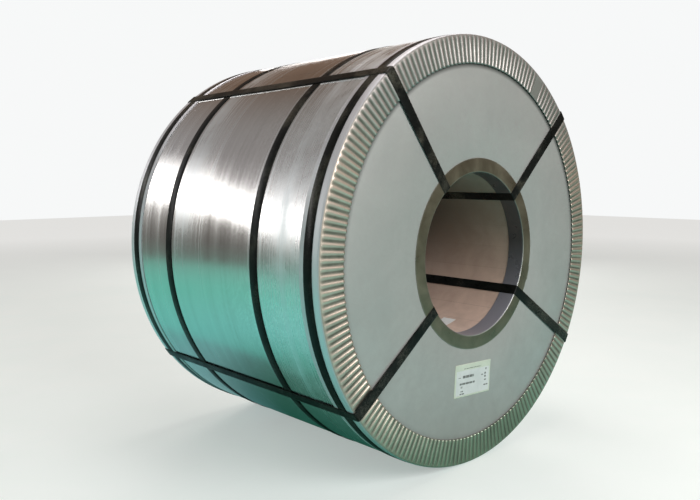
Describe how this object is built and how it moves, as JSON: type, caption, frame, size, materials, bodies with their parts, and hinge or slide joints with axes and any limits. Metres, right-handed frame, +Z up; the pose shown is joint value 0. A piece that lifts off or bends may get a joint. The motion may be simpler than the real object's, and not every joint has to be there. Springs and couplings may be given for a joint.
{
  "type": "packed steel coil",
  "caption": "Coil of sheet steel lying with its eye level, wrapped in sheet with side discs, fluted edge rings and steel straps round it and through the eye.",
  "frame": {"origin": "on the floor under the middle of the coil, at the bottom centre of its box", "axes": "+Z up; the coil's axis lies along Y, and -Y points out of the front end, the one with the label"},
  "size_m": [1.3068, 0.9779, 1.307],
  "materials": {
    "coil_steel": "cold-rolled, satin",
    "fibreboard": "matt brown fibreboard",
    "wrap_steel": "bright rolled sheet",
    "disc_grey": "satin grey coated sheet",
    "ring_steel": "bright galvanised strip",
    "ring_grey": "satin olive-grey coated strip",
    "strap_black": "semi-gloss black painted strap",
    "seal_steel": "zinc-plated seal",
    "paper": "matt printed paper"
  },
  "bodies": {
    "root": {"steel_coil": "coil_steel", "bore_liner": "fibreboard", "wrap_sheet": "wrap_steel", "end_disc_front": "disc_grey", "end_disc_back": "disc_grey", "outer_ring_front": "ring_steel", "outer_ring_back": "ring_steel", "inner_ring_front": "ring_grey", "inner_ring_back": "ring_grey", "strap_front_edge": "strap_black", "strap_front_middle": "strap_black", "strap_back_middle": "strap_black", "strap_back_edge": "strap_black", "eye_strap_upper_left": "strap_black", "eye_strap_upper_right": "strap_black", "eye_strap_lower_right": "strap_black", "eye_strap_lower_left": "strap_black", "strap_seals": "seal_steel", "coil_label": "paper", "bore_slip": "paper"}
  },
  "joints": []
}
